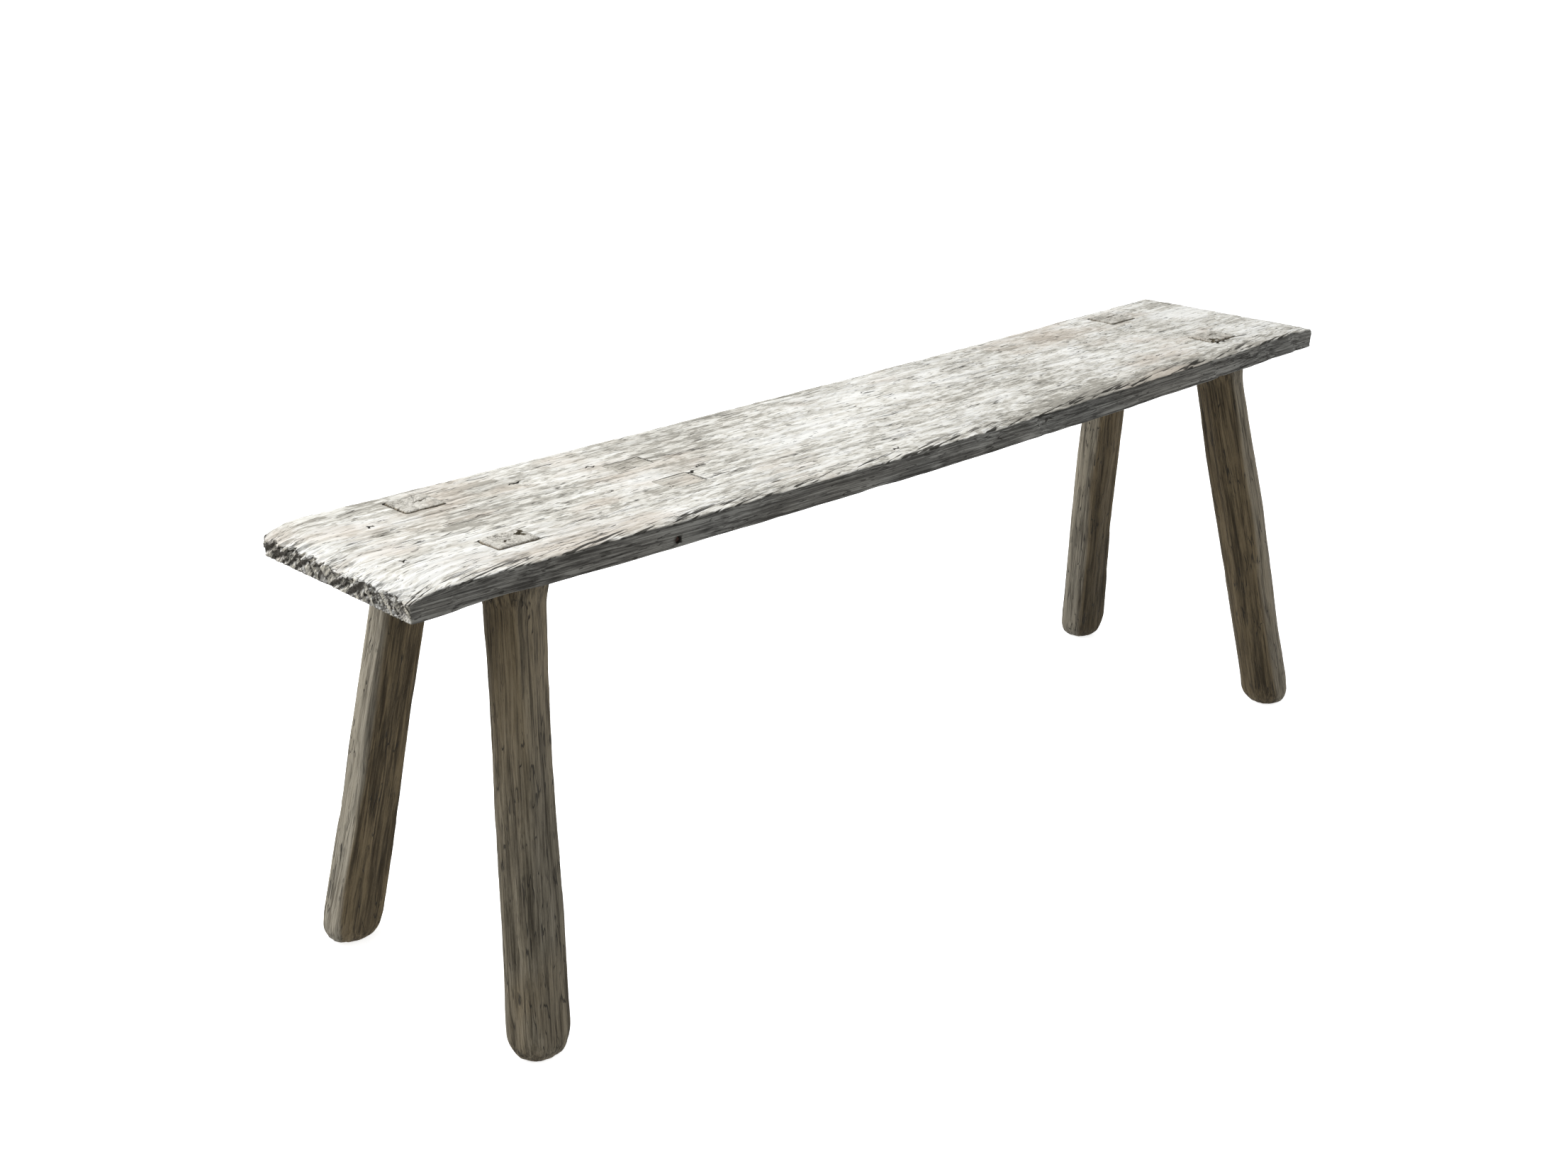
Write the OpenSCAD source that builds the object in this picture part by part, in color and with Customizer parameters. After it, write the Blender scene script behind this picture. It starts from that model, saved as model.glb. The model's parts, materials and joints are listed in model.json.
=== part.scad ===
// Backless bench: one waney plank on four splayed, hewn legs.
// The legs pass through the plank as tenons. Two plugs fill older mortises, and a nail is left in the edge.
// Millimetres. +X runs along the bench, -Y is the front, +Z is up, and the floor is z = 0 under the middle.
// Four-part values are in the order front left, back left, front right, back right.

/* [Plank] */
// Length of the plank
seat_length = 1288; // [1000:1:1600]
// Width of the plank at its ends
seat_width = 238; // [180:1:320]
// Height of the sitting surface above the floor
seat_height = 450; // [380:1:520]
// Thickness of the plank
seat_thickness = 26; // [20:1:45]
// How far the front edge bows outwards at the middle
front_bulge = 18; // [0:1:25]
// How far the back edge is hollow at the middle
back_hollow = 10; // [0:1:20]
// How far the right end is worn back from its furthest point
right_end_wear = 17; // [0:1:30]
// Plan radius of the plank's corners
corner_radius = [8, 20, 8, 9]; // [4:1:60]
// Radius of the worn upper edge
top_edge_radius = 5; // [1:0.5:8]
// Radius of the lower edge
bottom_edge_radius = 2; // [1:0.5:6]

/* [Legs] */
// Distance of each tenon from the nearer end of the plank
tenon_end_inset = [141, 138, 126, 137]; // [90:1:250]
// Distance of each tenon's middle from its long edge of the plank, at the ends' width
tenon_edge_inset = [56, 42, 58, 40]; // [35:1:80]
// Outward lean of each leg along the bench, in degrees
lean_along = [7.5, 8.5, 4.5, 6.5]; // [0:0.5:14]
// Outward lean of each leg across the bench, in degrees
lean_across = [10.5, 9, 11.5, 8.5]; // [0:0.5:16]
// Thickness of each leg a little below the plank
leg_top_d = [50, 51, 52, 45]; // [40:0.5:70]
// Thickness of each leg near the floor
leg_foot_d = [54, 56, 56.5, 51]; // [40:0.5:80]
// Height of the swelling that forms each leg's shoulder
swell_height = 32; // [15:1:60]
// How far the shoulder stands out past the leg all round
swell = 5; // [2:0.5:10]
// Least rim of shoulder outside each tenon's corners
shoulder_rim = 1.5; // [0.5:0.5:5]
// Radius of the worn edge round each foot
foot_edge_radius = 13; // [2:0.5:18]

/* [Tenons] */
// Size of each tenon along the bench
tenon_length = [43, 42, 46, 44]; // [25:1:50]
// Size of each tenon across the bench
tenon_width = [33, 39, 35, 38]; // [20:1:45]
// How far the tenon ends stand above the plank
tenon_proud = 1.5; // [0.5:0.5:5]
// Gap round each tenon in its mortise
tenon_clearance = 0.4; // [0.2:0.1:1]

/* [Plugs and nail] */
// Distance of the plugs' middles to the left of the bench's middle, back then front
plug_offset = [292, 290]; // [200:1:360]
// Distance of the plugs' middles from the plank's centre line, back then front
plug_row = [34, -40]; // [-60:1:60]
// Size of the plugs along the bench, back then front
plug_length = [45, 43]; // [20:1:60]
// Size of the plugs across the bench, back then front
plug_width = [27, 34]; // [15:1:45]
// Depth of the pockets that the plugs sit in
plug_depth = 16; // [8:1:18]
// Gap round each plug in its pocket
plug_clearance = 0.25; // [0.1:0.05:1]
// Distance of the nail to the left of the bench's middle
nail_offset = 368; // [300:1:420]
// Height of the nail's middle above the underside of the plank
nail_height = 8; // [6:1:12]
// Thickness of the square nail
nail_size = 5; // [3:0.5:7]
// Length of the nail left in the plank
nail_length = 30; // [15:1:40]
// How far the nail's broken end is sunk below the edge
nail_sink = 1; // [0.5:0.5:4]

/* [Hidden] */

underside = seat_height - seat_thickness;
half_length = seat_length / 2;
half_width = seat_width / 2;

// Signs that turn an inset into a place, in the order of the four-part values
end_side = [-1, -1, 1, 1];
long_side = [-1, 1, -1, 1];

tenon_top = seat_height + tenon_proud;
tenon_root = 3; // length of tenon sunk in the leg, so that the two make one piece
cut_through = 5; // how far a cut runs past a face

edge_steps = 18; // spans along each long edge
end_steps = 6; // spans along each end
corner_steps = 5; // spans round each corner
arris_steps = 3; // spans round each worn edge
leg_sides = 20; // flats round each leg
round_power = 2.2; // section power of a leg's lower part, where 2 is a circle
square_power = 3.4; // section power at the shoulder, which is nearly square
right_end_peak = 0.2; // furthest point of the right end, as a share of the way from front to back

plank_colour = [0.80, 0.77, 0.71];
leg_colour = [0.50, 0.42, 0.32];
plug_colour = [0.66, 0.62, 0.56];
nail_colour = [0.25, 0.15, 0.11];

// ---- Plan of the plank ----

function bow(x) = cos(90 * x / half_length);
function front_edge(x) = [x, -half_width - front_bulge * bow(x)];
function back_edge(x) = [x, half_width - back_hollow * bow(x)];
function left_end(t) = [-half_length, half_width * (1 - 2 * t)];
function right_end(t) = let (away = abs(t - right_end_peak) / (1 - right_end_peak))
    [half_length - right_end_wear * pow(away, 1.5), half_width * (2 * t - 1)];

function span(a, b, steps) = [for (i = [0:steps]) a + (b - a) * i / steps];

// The points of a curved corner between its two ends
function corner(from, tip, to) = [for (i = [1:corner_steps - 1]) let (s = i / corner_steps)
    (1 - s) * (1 - s) * from + 2 * s * (1 - s) * tip + s * s * to];

// The outline, anticlockwise from the front left corner
function plan() =
    let (
        tips = [front_edge(-half_length), left_end(0), right_end(0), right_end(1)],
        share = corner_radius / seat_width,
        front_xs = span(tips[0].x + corner_radius[0], tips[2].x - corner_radius[2], edge_steps),
        back_xs = span(tips[3].x - corner_radius[3], tips[1].x + corner_radius[1], edge_steps),
        front = [for (x = front_xs) front_edge(x)],
        right = [for (t = span(share[2], 1 - share[3], end_steps)) right_end(t)],
        back = [for (x = back_xs) back_edge(x)],
        left = [for (t = span(share[1], 1 - share[0], end_steps)) left_end(t)]
    )
    concat(
        front, corner(front[edge_steps], tips[2], right[0]),
        right, corner(right[end_steps], tips[3], back[0]),
        back, corner(back[edge_steps], tips[1], left[0]),
        left, corner(left[end_steps], tips[0], front[0])
    );

// ---- Solids lofted through rings of points ----

function lift(ring, z) = [for (p = ring) [p.x, p.y, z]];

// The ring moved inwards by d
function inset(ring, d) = let (n = len(ring)) [for (i = [0:n - 1])
    let (run = ring[(i + 1) % n] - ring[(i + n - 1) % n])
    ring[i] + d * [-run.y, run.x] / norm(run)];

// A closed solid through rings listed from the bottom up, each with the same number of points
module loft(rings) {
    n = len(rings[0]);
    last = len(rings) - 1;
    ring_points = [for (ring = rings) each ring];
    ones = [for (p = rings[0]) 1];
    caps = [ones * rings[0] / n, ones * rings[last] / n]; // the middle of each end, where its faces meet
    sides = [for (k = [0:last - 1], i = [0:n - 1]) let (j = (i + 1) % n)
        each [[k * n + i, (k + 1) * n + i, (k + 1) * n + j], [k * n + i, (k + 1) * n + j, k * n + j]]];
    bottom = [for (i = [0:n - 1]) [len(ring_points), i, (i + 1) % n]];
    top = [for (i = [0:n - 1]) [len(ring_points) + 1, last * n + (i + 1) % n, last * n + i]];
    polyhedron(points = concat(ring_points, caps), faces = concat(sides, bottom, top), convexity = 4);
}

// ---- Places of the legs ----

function tenon_middle(leg) = [
    end_side[leg] * (half_length - tenon_end_inset[leg]),
    long_side[leg] * (half_width - tenon_edge_inset[leg])
];
// The middle of a leg at height z: the lean is measured from the sitting surface
function leg_middle(leg, z) = tenon_middle(leg) + (seat_height - z)
    * [end_side[leg] * tan(lean_along[leg]), long_side[leg] * tan(lean_across[leg])];

function rectangle(middle, size) = [for (corner = [[-1, -1], [1, -1], [1, 1], [-1, 1]])
    middle + [corner.x * size.x, corner.y * size.y] / 2];

// A level section of a leg: a circle at power 2, and nearer to a square above it
function leg_section(middle, d, power) = [for (i = [0:leg_sides - 1])
    let (
        a = 360 * (i + 0.5) / leg_sides,
        reach = pow(pow(abs(cos(a)), power) + pow(abs(sin(a)), power), -1 / power)
    )
    middle + d / 2 * reach * [cos(a), sin(a)]];

// Thickness of a leg at its shoulder, which always covers the tenon's corners
function shoulder_d(leg) =
    let (corner_reach = pow(2, 0.5 - 1 / square_power))
    max(
        leg_top_d[leg] + 2 * swell,
        (norm([tenon_length[leg], tenon_width[leg]]) + 2 * shoulder_rim) / corner_reach
    );

// ---- Shared shapes, drawn once and cut with a gap ----

// The leaning bar of a tenon, or of its mortise when gap is more than 0
module tenon_bar(leg, z_low, z_high, gap = 0) {
    size = [tenon_length[leg], tenon_width[leg]] + 2 * [gap, gap];
    loft([for (z = [z_low, z_high]) lift(rectangle(leg_middle(leg, z), size), z)]);
}

module plug_block(plug, gap = 0, rise = 0) {
    size = [plug_length[plug], plug_width[plug], 0] + 2 * [gap, gap, 0];
    translate([-plug_offset[plug] - size.x / 2, plug_row[plug] - size.y / 2, seat_height - plug_depth])
        cube([size.x, size.y, plug_depth + rise]);
}

module nail_bar(start_gap = 0) {
    face = front_edge(-nail_offset);
    translate([face.x, face.y + nail_sink - start_gap, underside + nail_height])
        translate([-nail_size / 2, 0, -nail_size / 2])
            cube([nail_size, nail_length + start_gap, nail_size]);
}

// ---- Sub-parts ----

module seat_plank() {
    outline = plan();
    turns = span(0, 90, arris_steps);
    lower = [for (a = turns) lift(
        inset(outline, bottom_edge_radius * (1 - sin(a))), underside + bottom_edge_radius * (1 - cos(a)))];
    upper = [for (a = turns) lift(
        inset(outline, top_edge_radius * (1 - cos(a))), seat_height - top_edge_radius * (1 - sin(a)))];
    color(plank_colour) difference() {
        loft(concat(lower, upper));
        for (leg = [0:3]) tenon_bar(leg, underside - cut_through, seat_height + cut_through, tenon_clearance);
        for (plug = [0:1]) plug_block(plug, plug_clearance, cut_through);
        nail_bar(cut_through);
    }
}

module leg(i) {
    foot_rings = [for (a = span(0, 90, arris_steps))
        let (
            z = foot_edge_radius * (1 - cos(a)),
            d = leg_foot_d[i] - 2 * foot_edge_radius * (1 - sin(a))
        )
        lift(leg_section(leg_middle(i, z), d, round_power), z)];
    shoulder_rings = [for (s = span(0, 1, arris_steps))
        let (
            z = underside - swell_height * (1 - s),
            d = leg_top_d[i] + (shoulder_d(i) - leg_top_d[i]) * s * s,
            power = round_power + (square_power - round_power) * s
        )
        lift(leg_section(leg_middle(i, z), d, power), z)];
    color(leg_colour) union() {
        loft(concat(foot_rings, shoulder_rings));
        tenon_bar(i, underside - tenon_root, tenon_top);
    }
}

module leg_front_left() leg(0);
module leg_back_left() leg(1);
module leg_front_right() leg(2);
module leg_back_right() leg(3);

module mortise_plug_back() color(plug_colour) plug_block(0);
module mortise_plug_front() color(plug_colour) plug_block(1);

module nail_stub() color(nail_colour) nail_bar();

seat_plank();
leg_front_left();
leg_back_left();
leg_front_right();
leg_back_right();
mortise_plug_back();
mortise_plug_front();
nail_stub();
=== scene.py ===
import json
import math
import bpy
import bmesh
import numpy as np
from mathutils import Matrix, Vector

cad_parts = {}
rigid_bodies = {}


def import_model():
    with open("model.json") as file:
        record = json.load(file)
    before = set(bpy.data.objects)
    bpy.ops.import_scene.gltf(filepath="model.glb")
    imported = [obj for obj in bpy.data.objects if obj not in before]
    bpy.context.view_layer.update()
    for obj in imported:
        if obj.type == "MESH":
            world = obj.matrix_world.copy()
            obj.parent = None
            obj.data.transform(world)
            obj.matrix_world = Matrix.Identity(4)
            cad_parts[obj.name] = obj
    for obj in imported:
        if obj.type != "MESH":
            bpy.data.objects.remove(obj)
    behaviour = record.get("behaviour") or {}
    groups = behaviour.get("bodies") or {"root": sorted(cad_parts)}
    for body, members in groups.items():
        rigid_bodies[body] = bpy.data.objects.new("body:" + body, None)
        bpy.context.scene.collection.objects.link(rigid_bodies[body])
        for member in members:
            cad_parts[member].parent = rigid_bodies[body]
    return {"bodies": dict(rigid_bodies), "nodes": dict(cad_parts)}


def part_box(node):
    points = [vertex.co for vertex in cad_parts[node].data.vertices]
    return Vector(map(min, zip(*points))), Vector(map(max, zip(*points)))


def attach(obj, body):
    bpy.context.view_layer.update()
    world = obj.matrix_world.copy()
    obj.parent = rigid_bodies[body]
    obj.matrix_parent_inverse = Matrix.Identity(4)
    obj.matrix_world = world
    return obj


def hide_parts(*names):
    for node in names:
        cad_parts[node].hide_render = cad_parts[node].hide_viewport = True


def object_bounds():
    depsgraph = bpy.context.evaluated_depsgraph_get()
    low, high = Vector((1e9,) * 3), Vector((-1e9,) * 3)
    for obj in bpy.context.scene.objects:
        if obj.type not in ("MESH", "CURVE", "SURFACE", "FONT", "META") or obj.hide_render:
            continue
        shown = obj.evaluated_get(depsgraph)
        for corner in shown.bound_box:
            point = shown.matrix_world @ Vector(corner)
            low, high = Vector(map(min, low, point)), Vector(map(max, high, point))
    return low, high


for spare in list(bpy.data.objects):
    bpy.data.objects.remove(spare)
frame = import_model()
cadBounds = [list(corner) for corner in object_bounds()]
body = next(iter(frame["bodies"]))
mm = 0.001  # shapes are worked out in millimetres and made in metres
print("frame loaded:", sorted(frame["nodes"]))


def addObject(name, data):
    made = bpy.data.objects.new(name, data)
    bpy.context.scene.collection.objects.link(made)
    return made


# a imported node's low and high corner
def boxOf(node):
    return [np.array(corner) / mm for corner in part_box(node)]


# the camera stands off the left front corner and looks down along the seat
cameraView = {
    "azimuth": -43.042, "elevation": 20.874, "roll": -0.513,
    "lens": 46.73, "sensor": 36.0,
    "offMiddle": (-1459.4, -1432.2, 807.5),  # from the middle of the object's box
}


def placeCamera(view):
    middle = (Vector(cadBounds[0]) + Vector(cadBounds[1])) / 2
    a, e, r = (math.radians(view[k]) for k in ("azimuth", "elevation", "roll"))
    back = Vector((math.sin(a) * math.cos(e), -math.cos(a) * math.cos(e), math.sin(e)))
    right = Vector((0, 0, 1)).cross(back).normalized()
    up = back.cross(right)
    rightRolled = right * math.cos(r) + up * math.sin(r)
    upRolled = up * math.cos(r) - right * math.sin(r)
    data = bpy.data.cameras.new("camera")
    data.lens, data.sensor_width = view["lens"], view["sensor"]
    data.clip_start, data.clip_end = 0.05, 60
    made = addObject("camera", data)
    turn = Matrix((rightRolled, upRolled, back)).transposed()
    made.matrix_world = Matrix.Translation(middle + Vector(view["offMiddle"]) * mm) @ turn.to_4x4()
    bpy.context.scene.camera = made


placeCamera(cameraView)


# smooth noise on arrays of points, from -1 to 1
def latticeValue(ix, iy, iz, seed):
    n = (ix * 73856093) ^ (iy * 19349663) ^ (iz * 83492791) ^ np.int64(seed * 26544357)
    n = ((n ^ (n >> 13)) * 1274126177) & 0x7FFFFFFF
    n = ((n ^ (n >> 11)) * 69069) & 0x7FFFFFFF
    return ((n >> 7) & 0xFFFF) / 32767.5 - 1.0


def noiseAt(x, y=0.0, z=0.0, seed=0):
    x, y, z = np.broadcast_arrays(*(np.asarray(v, float) for v in (x, y, z)))
    cell = [np.floor(v).astype(np.int64) for v in (x, y, z)]
    part = [v - c for v, c in zip((x, y, z), cell)]
    soft = [p * p * p * (p * (p * 6 - 15) + 10) for p in part]
    total = np.zeros(x.shape)
    for dx in (0, 1):
        for dy in (0, 1):
            for dz in (0, 1):
                share = ((soft[0] if dx else 1 - soft[0]) * (soft[1] if dy else 1 - soft[1])
                         * (soft[2] if dz else 1 - soft[2]))
                total += share * latticeValue(cell[0] + dx, cell[1] + dy, cell[2] + dz, seed)
    return total


def roughAt(x, y=0.0, z=0.0, seed=0, layers=3):
    total, size, reach = 0.0, 1.0, 0.0
    for k in range(layers):
        finer = [np.asarray(v) * 2 ** k for v in (x, y, z)]
        total = total + size * noiseAt(*finer, seed + 17 * k)
        reach += size
        size *= 0.55
    return total / reach


def unit(t):
    return np.clip(t, 0, 1)


def eased(t):
    t = unit(t)
    return t * t * (3 - 2 * t)


# 1 at no distance and 0 from the reach on
def fade(distance, reach):
    return unit(1 - distance / reach)


# 1 at no distance, dying away smoothly round it
def mound(distance, reach):
    return np.exp(-(distance / reach) ** 2)


# a value in a node tree: plain arithmetic on it adds Math nodes
class Wire:
    def __init__(self, tree, socket):
        self.tree, self.socket = tree, socket

    def math(self, operation, *others, clamp=False):
        return mathNode(self.tree, operation, self, *others, clamp=clamp)

    def __add__(self, other):
        return self.math("ADD", other)

    def __sub__(self, other):
        return self.math("SUBTRACT", other)

    def __mul__(self, other):
        return self.math("MULTIPLY", other)

    def __truediv__(self, other):
        return self.math("DIVIDE", other)

    def __rsub__(self, other):
        return mathNode(self.tree, "SUBTRACT", other, self)

    def __pow__(self, other):
        return self.math("POWER", other)

    __radd__, __rmul__ = __add__, __mul__


def plug(tree, value, socket):
    if isinstance(value, Wire):
        tree.links.new(value.socket, socket)
    else:
        socket.default_value = value


def addNode(tree, kind, inputs=None, **settings):
    made = tree.nodes.new(kind)
    for name, value in settings.items():
        setattr(made, name, value)
    for name, value in (inputs or {}).items():
        plug(tree, value, made.inputs[name])
    return made


def out(tree, made, name=0):
    return Wire(tree, made.outputs[name])


def mathNode(tree, operation, *values, clamp=False):
    made = addNode(tree, "ShaderNodeMath", operation=operation, use_clamp=clamp)
    for value, socket in zip(values, made.inputs):
        plug(tree, value, socket)
    return out(tree, made)


def vectorOf(tree, x, y, z):
    return out(tree, addNode(tree, "ShaderNodeCombineXYZ", {"X": x, "Y": y, "Z": z}))


def partsOf(tree, vector):
    made = addNode(tree, "ShaderNodeSeparateXYZ", {"Vector": vector})
    return [out(tree, made, k) for k in range(3)]


def stepUp(tree, value, low, high, bottom=0.0, top=1.0):
    made = addNode(tree, "ShaderNodeMapRange", interpolation_type="SMOOTHSTEP")
    names = ("Value", "From Min", "From Max", "To Min", "To Max")
    for name, given in zip(names, (value, low, high, bottom, top)):
        plug(tree, given, made.inputs[name])
    return out(tree, made)


def noiseOf(tree, vector, scale=1.0, detail=2.0, roughness=0.5, distortion=0.0):
    return out(tree, addNode(tree, "ShaderNodeTexNoise", {
        "Vector": vector, "Scale": scale, "Detail": detail, "Roughness": roughness, "Distortion": distortion,
    }))


# a group's inputs with their usual values, and its outputs
def newTree(name, kind, inputs, outputs):
    tree = bpy.data.node_groups.new(name, kind)

    def addSocket(label, side, value=0.0):
        if label in ("Geometry", "Material"):
            return tree.interface.new_socket(name=label, in_out=side, socket_type="NodeSocket" + label)
        socketKind = "NodeSocketVector" if isinstance(value, tuple) else "NodeSocketFloat"
        made = tree.interface.new_socket(name=label, in_out=side, socket_type=socketKind)
        made.default_value = value
        return made

    for label, value in inputs.items():
        addSocket(label, "INPUT", value)
    for label in outputs:
        addSocket(label, "OUTPUT")
    source, sink = tree.nodes.new("NodeGroupInput"), tree.nodes.new("NodeGroupOutput")
    return tree, {label: out(tree, source, label) for label in inputs}, sink


def endGroup(tree, sink, values):
    for label, value in values.items():
        plug(tree, value, sink.inputs[label])
    return tree


# every tree of shapes ends alike: its material, then whole geometry
def endShapes(tree, sink, geometry, material):
    dressed = addNode(tree, "GeometryNodeSetMaterial", {"Geometry": geometry, "Material": material})
    whole = addNode(tree, "GeometryNodeRealizeInstances", {"Geometry": out(tree, dressed)})
    return endGroup(tree, sink, {"Geometry": out(tree, whole)})


def readTrait(tree, name, kind="FLOAT"):
    made = addNode(tree, "GeometryNodeInputNamedAttribute", {"Name": name}, data_type=kind)
    return out(tree, made, "Attribute")


def storeTrait(tree, geometry, name, value, kind="FLOAT"):
    inputs = {"Geometry": geometry, "Name": name, "Value": value}
    return out(tree, addNode(tree, "GeometryNodeStoreNamedAttribute", inputs, data_type=kind, domain="POINT"))


# floats and vectors kept on a mesh's points
def keepOn(mesh, name, values):
    values = np.asarray(values, np.float32)
    kind, field = ("FLOAT_VECTOR", "vector") if values.ndim == 2 else ("FLOAT", "value")
    held = mesh.attributes.get(name) or mesh.attributes.new(name, kind, "POINT")
    held.data.foreach_set(field, values.ravel())


def pointsOf(mesh):
    co = np.zeros(len(mesh.vertices) * 3, np.float32)
    mesh.vertices.foreach_get("co", co)
    return co.reshape(-1, 3).astype(float) / mm


def normalsOf(mesh):
    normals = np.zeros(len(mesh.vertices) * 3, np.float32)
    mesh.vertex_normals.foreach_get("vector", normals)
    return normals.reshape(-1, 3)


def movePoints(mesh, points):
    mesh.vertices.foreach_set("co", (np.asarray(points) * mm).astype(np.float32).ravel())
    mesh.update()


def newPiece(name, points, faces):
    mesh = bpy.data.meshes.new(name)
    mesh.from_pydata((np.asarray(points) * mm).tolist(), [], faces)
    mesh.validate()
    return addObject(name, mesh)


def faceOutwards(piece):
    work = bmesh.new()
    work.from_mesh(piece.data)
    bmesh.ops.recalc_face_normals(work, faces=work.faces)
    work.to_mesh(piece.data)
    work.free()


def bakeDown(piece):
    shown = piece.evaluated_get(bpy.context.evaluated_depsgraph_get())
    mesh = bpy.data.meshes.new_from_object(shown, preserve_all_data_layers=True,
                                           depsgraph=bpy.context.evaluated_depsgraph_get())
    piece.modifiers.clear()
    piece.data = mesh
    mesh.name = piece.name


def runTree(piece, tree, values):
    modifier = piece.modifiers.new(tree.name, "NODES")
    modifier.node_group = tree
    for item in tree.interface.items_tree:
        if item.item_type == "SOCKET" and item.in_out == "INPUT" and item.name in values:
            modifier[item.identifier] = values[item.name]
    bakeDown(piece)


def cutAway(piece, cutters):
    for cutter in cutters:
        modifier = piece.modifiers.new("cut", "BOOLEAN")
        modifier.operation, modifier.solver, modifier.object = "DIFFERENCE", "MANIFOLD", cutter
    bakeDown(piece)
    for cutter in cutters:
        bpy.data.objects.remove(cutter)


def smoothShade(piece, angle=38):
    piece.data.shade_smooth()
    piece.data.set_sharp_from_angle(angle=math.radians(angle))


def turnsOf(count):
    return np.arange(count) * 2 * math.pi / count


# faces round a tube of rings with n points each, and the fans that close its two ends
def tubeFaces(rings, n, first=0, flip=False):
    faces = []
    for a in range(first, first + (rings - 1) * n, n):
        for i in range(n):
            j = (i + 1) % n
            around = (a + i, a + j, a + n + j, a + n + i)
            faces.append(around[:1] + around[:0:-1] if flip else around)
    return faces


def fanFaces(n, low, lowRing, high, highRing):
    faces = []
    for i in range(n):
        j = (i + 1) % n
        faces += [(low, lowRing + j, lowRing + i), (high, highRing + i, highRing + j)]
    return faces


# a closed box of points, finer above than below; each point keeps its place along, across and up
def boxBlank(name, along, across, up, below=1):
    nx, ny, nz = len(along), len(across), len(up)
    coarse = list(range(0, ny, below))
    ids = {}
    places = []

    def point(i, j, k):
        key = (i, j, k)
        if key not in ids:
            ids[key] = len(places)
            places.append((along[i], across[j], up[k]))
        return ids[key]

    def square(a, b, c, d):
        faces.append((point(*a), point(*b), point(*c), point(*d)))

    faces = []
    for i in range(nx - 1):
        for j in range(ny - 1):
            square((i, j, nz - 1), (i + 1, j, nz - 1), (i + 1, j + 1, nz - 1), (i, j + 1, nz - 1))
        for k in range(nz - 1):
            square((i, 0, k), (i + 1, 0, k), (i + 1, 0, k + 1), (i, 0, k + 1))
            square((i + 1, ny - 1, k), (i, ny - 1, k), (i, ny - 1, k + 1), (i + 1, ny - 1, k + 1))
        for a, b in zip(coarse, coarse[1:]):
            near = [point(i, j, 0) for j in (range(a, b + 1) if i == 0 else (a, b))]
            far = [point(i + 1, j, 0) for j in (range(a, b + 1) if i == nx - 2 else (a, b))]
            faces.append(tuple(near + far[::-1]))
    for j in range(ny - 1):
        for k in range(nz - 1):
            square((0, j + 1, k), (0, j, k), (0, j, k + 1), (0, j + 1, k + 1))
            square((nx - 1, j, k), (nx - 1, j + 1, k), (nx - 1, j + 1, k + 1), (nx - 1, j, k + 1))
    places = np.array(places)
    return newPiece(name, places, faces), places


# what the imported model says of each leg: its foot, its tenon and its girth
def legFacts(node):
    co = pointsOf(frame["nodes"][node].data)
    top = co[:, 2].max()
    head, toe = co[co[:, 2] > top - 0.05], co[co[:, 2] < 0.05]
    tenonLow, tenonHigh = head.min(0), head.max(0)
    foot, neck = (toe.min(0) + toe.max(0)) / 2, (tenonLow + tenonHigh) / 2
    middle = foot + (neck - foot) * (co[:, 2:] / top)
    radial = np.hypot(*(co - middle)[:, :2].T)
    levels = np.unique(co[:, 2].round(1))
    girth = np.array([radial[abs(co[:, 2] - level) < 0.06].mean() for level in levels])
    return {"foot": foot, "neck": neck, "tenon": (tenonHigh - tenonLow)[:2] / 2, "girth": girth}


legNodes = ["leg_front_left", "leg_back_left", "leg_front_right", "leg_back_right"]
legs = {node: legFacts(node) for node in legNodes}
seatLow, seatHigh = boxOf("seat_plank")
underside, seatTop = seatLow[2], seatHigh[2]
for node, facts in legs.items():
    print(node, {k: np.round(v, 1).tolist() for k, v in facts.items()})


# the seat: a hewn plank, bowed along the front, hollow along the back, worn at both ends
seat = {
    "bow": 18.0, "hollow": 10.0, "rightWear": 17.0, "wearPeak": 0.06, "wearFrom": 300.0,
    "corners": {(-1, -1): 3.0, (-1, 1): 14.0, (1, -1): 4.0, (1, 1): 8.0},
    "topArris": 2.2, "topArrisGives": 0.9, "rightArrisMore": 1.5, "arrisRange": (1.0, 7.6),
    "lowArris": 1.7, "lowArrisGives": 0.9, "lowArrisRight": 0.9,
    "skin": 0.4,          # the worn top lies this far under the highest fibres
    # how deep the top is worn, over what reach, and the power of its fall
    "rimWear": (6.4, 40.0, 2.2), "frontTipWear": (2.4, 60.0, 1.5), "backTipWear": (2.5, 60.0, 1.4),
    "rightRoll": (3.0, 26.0, 2),
    "dished": 0.7, "frontWorn": 0.7, "chipDepth": 4.2, "crumbDepth": 2.4, "fibreDepth": 1.1, "pockDepth": 0.8,
    "flatDepth": 1.3, "flatLength": 80.0,
    "hackDepth": 3.4, "hackRight": 0.45, "ragDepth": 1.1, "cornerFlare": 3.5, "flareReach": 60.0,
    # tool marks on the front edge: place along, reach and depth
    "facets": ((129, 9, 1.4), (449, 10, 1.5), (560, 13, 1.9), (612, 11, 2.0),
               (-250, 12, 0.8), (-590, 10, 1.0)),
    "step": 4.4, "columns": 186, "below": 5,
    "levels": (0, 0.05, 0.12, 0.21, 0.31, 0.42, 0.53, 0.64, 0.74, 0.82, 0.89, 0.95, 1),
    # where its stations lie closer: how far from the end, a tenon or a plug, and their step
    "leftClose": (34, 1.3), "rightClose": (30, 2.2), "tenonClose": (9, 2.3), "plugClose": (8, 2.3),
}
halfLength = -seatLow[0]
halfWidth = -seatLow[1] - seat["bow"]
leftEnd = -halfLength
plugNodes = ["mortise_plug_back", "mortise_plug_front"]
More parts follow.
